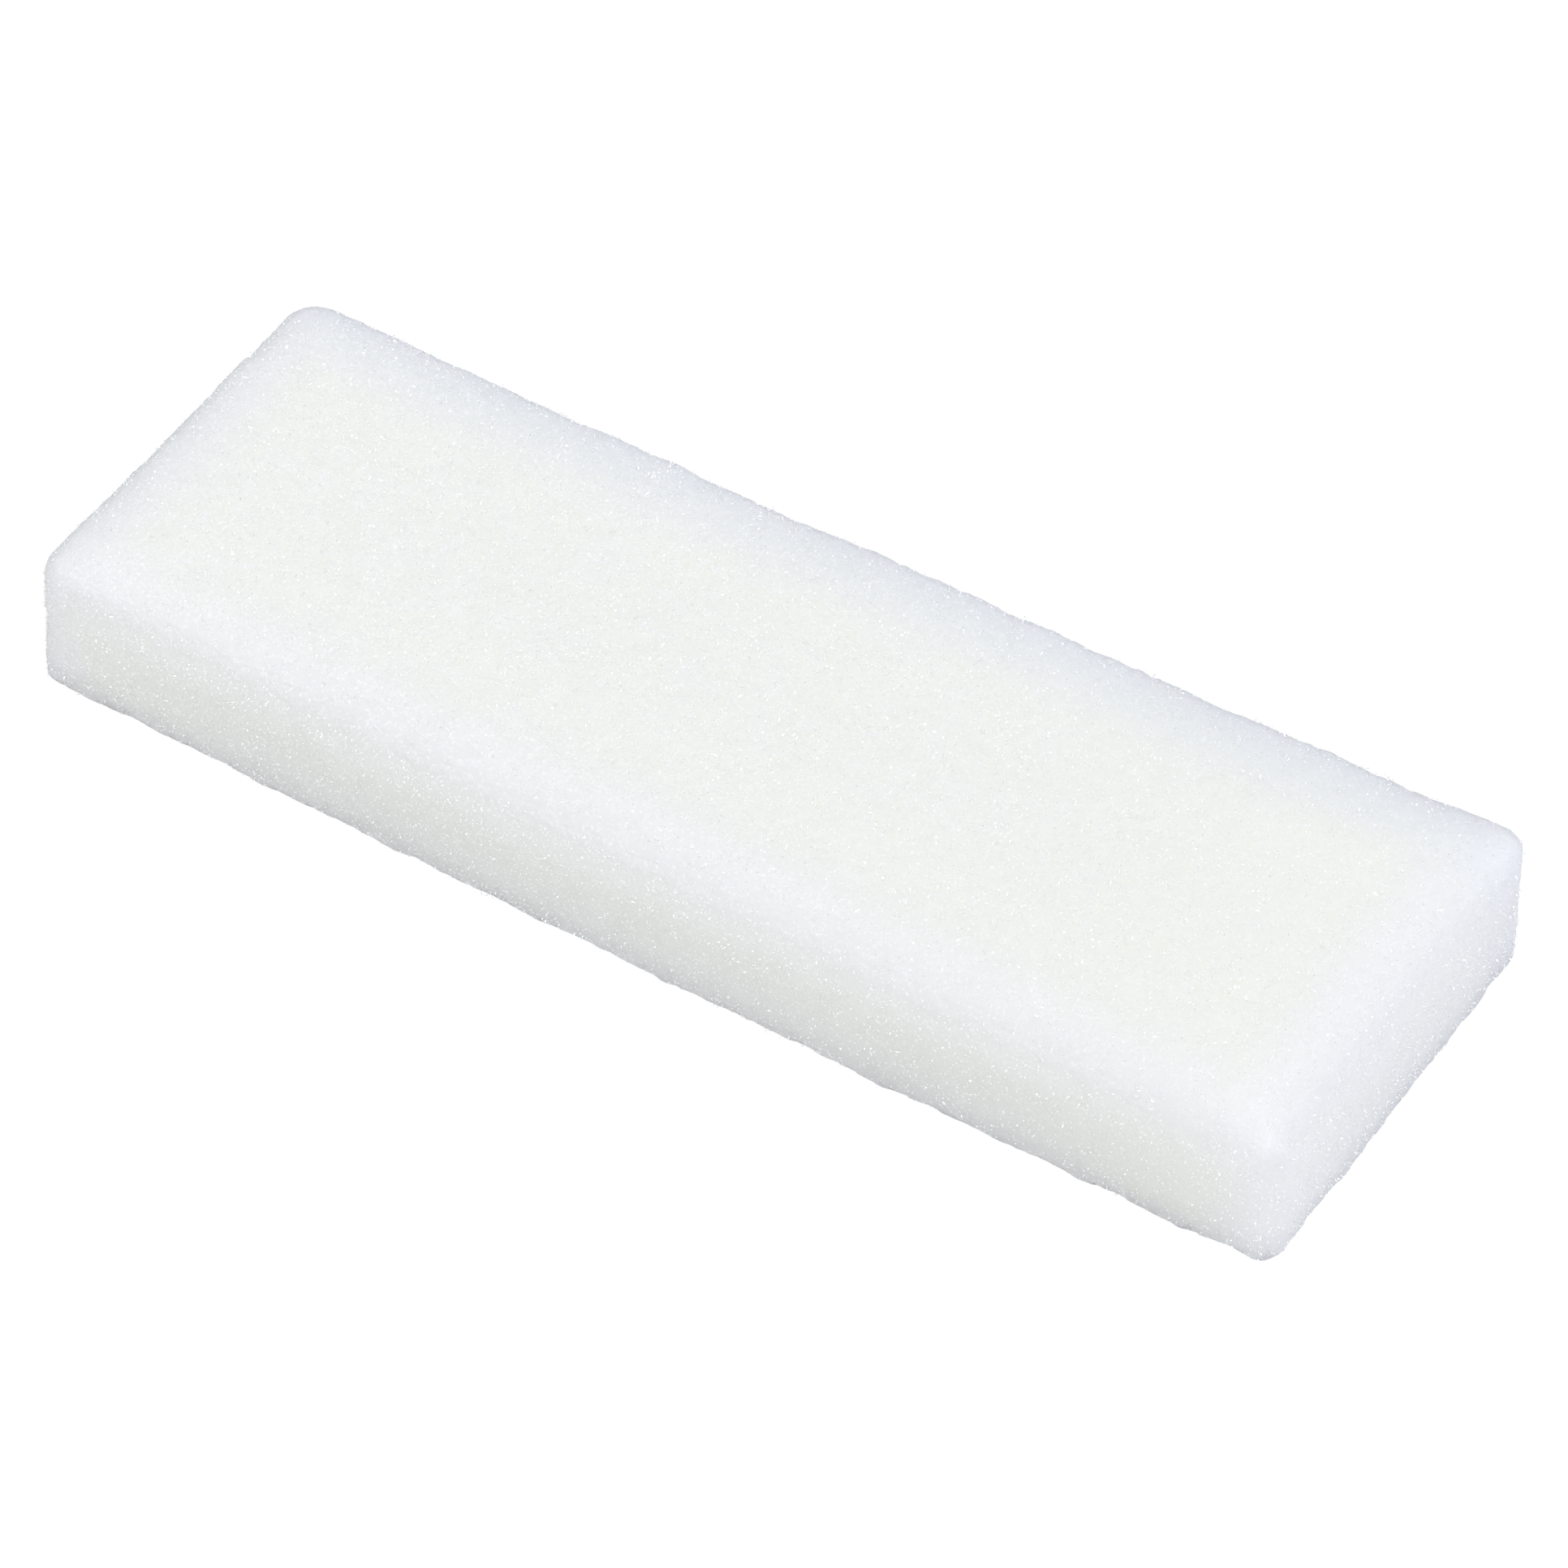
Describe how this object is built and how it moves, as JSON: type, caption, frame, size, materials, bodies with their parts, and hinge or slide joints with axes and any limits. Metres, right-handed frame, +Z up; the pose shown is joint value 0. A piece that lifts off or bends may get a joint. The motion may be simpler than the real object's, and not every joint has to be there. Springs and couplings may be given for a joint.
{
  "type": "gelatin sponge",
  "caption": "Flat rectangular block of dried white gelatin foam with soft cut edges and open pores, for soaking up liquid.",
  "frame": {"origin": "centre of the underside, on the surface that the block rests on", "axes": "+X along the 60 mm length, +Y along the 20 mm width towards the back long side, +Z up through the 7 mm thickness"},
  "size_m": [0.06, 0.02, 0.007],
  "materials": {
    "gelatin_foam": "matte dried open-cell gelatin foam, ivory white, with fine glinting cell walls and soft torn edges"
  },
  "bodies": {
    "root": {"sponge": "gelatin_foam"}
  },
  "joints": []
}
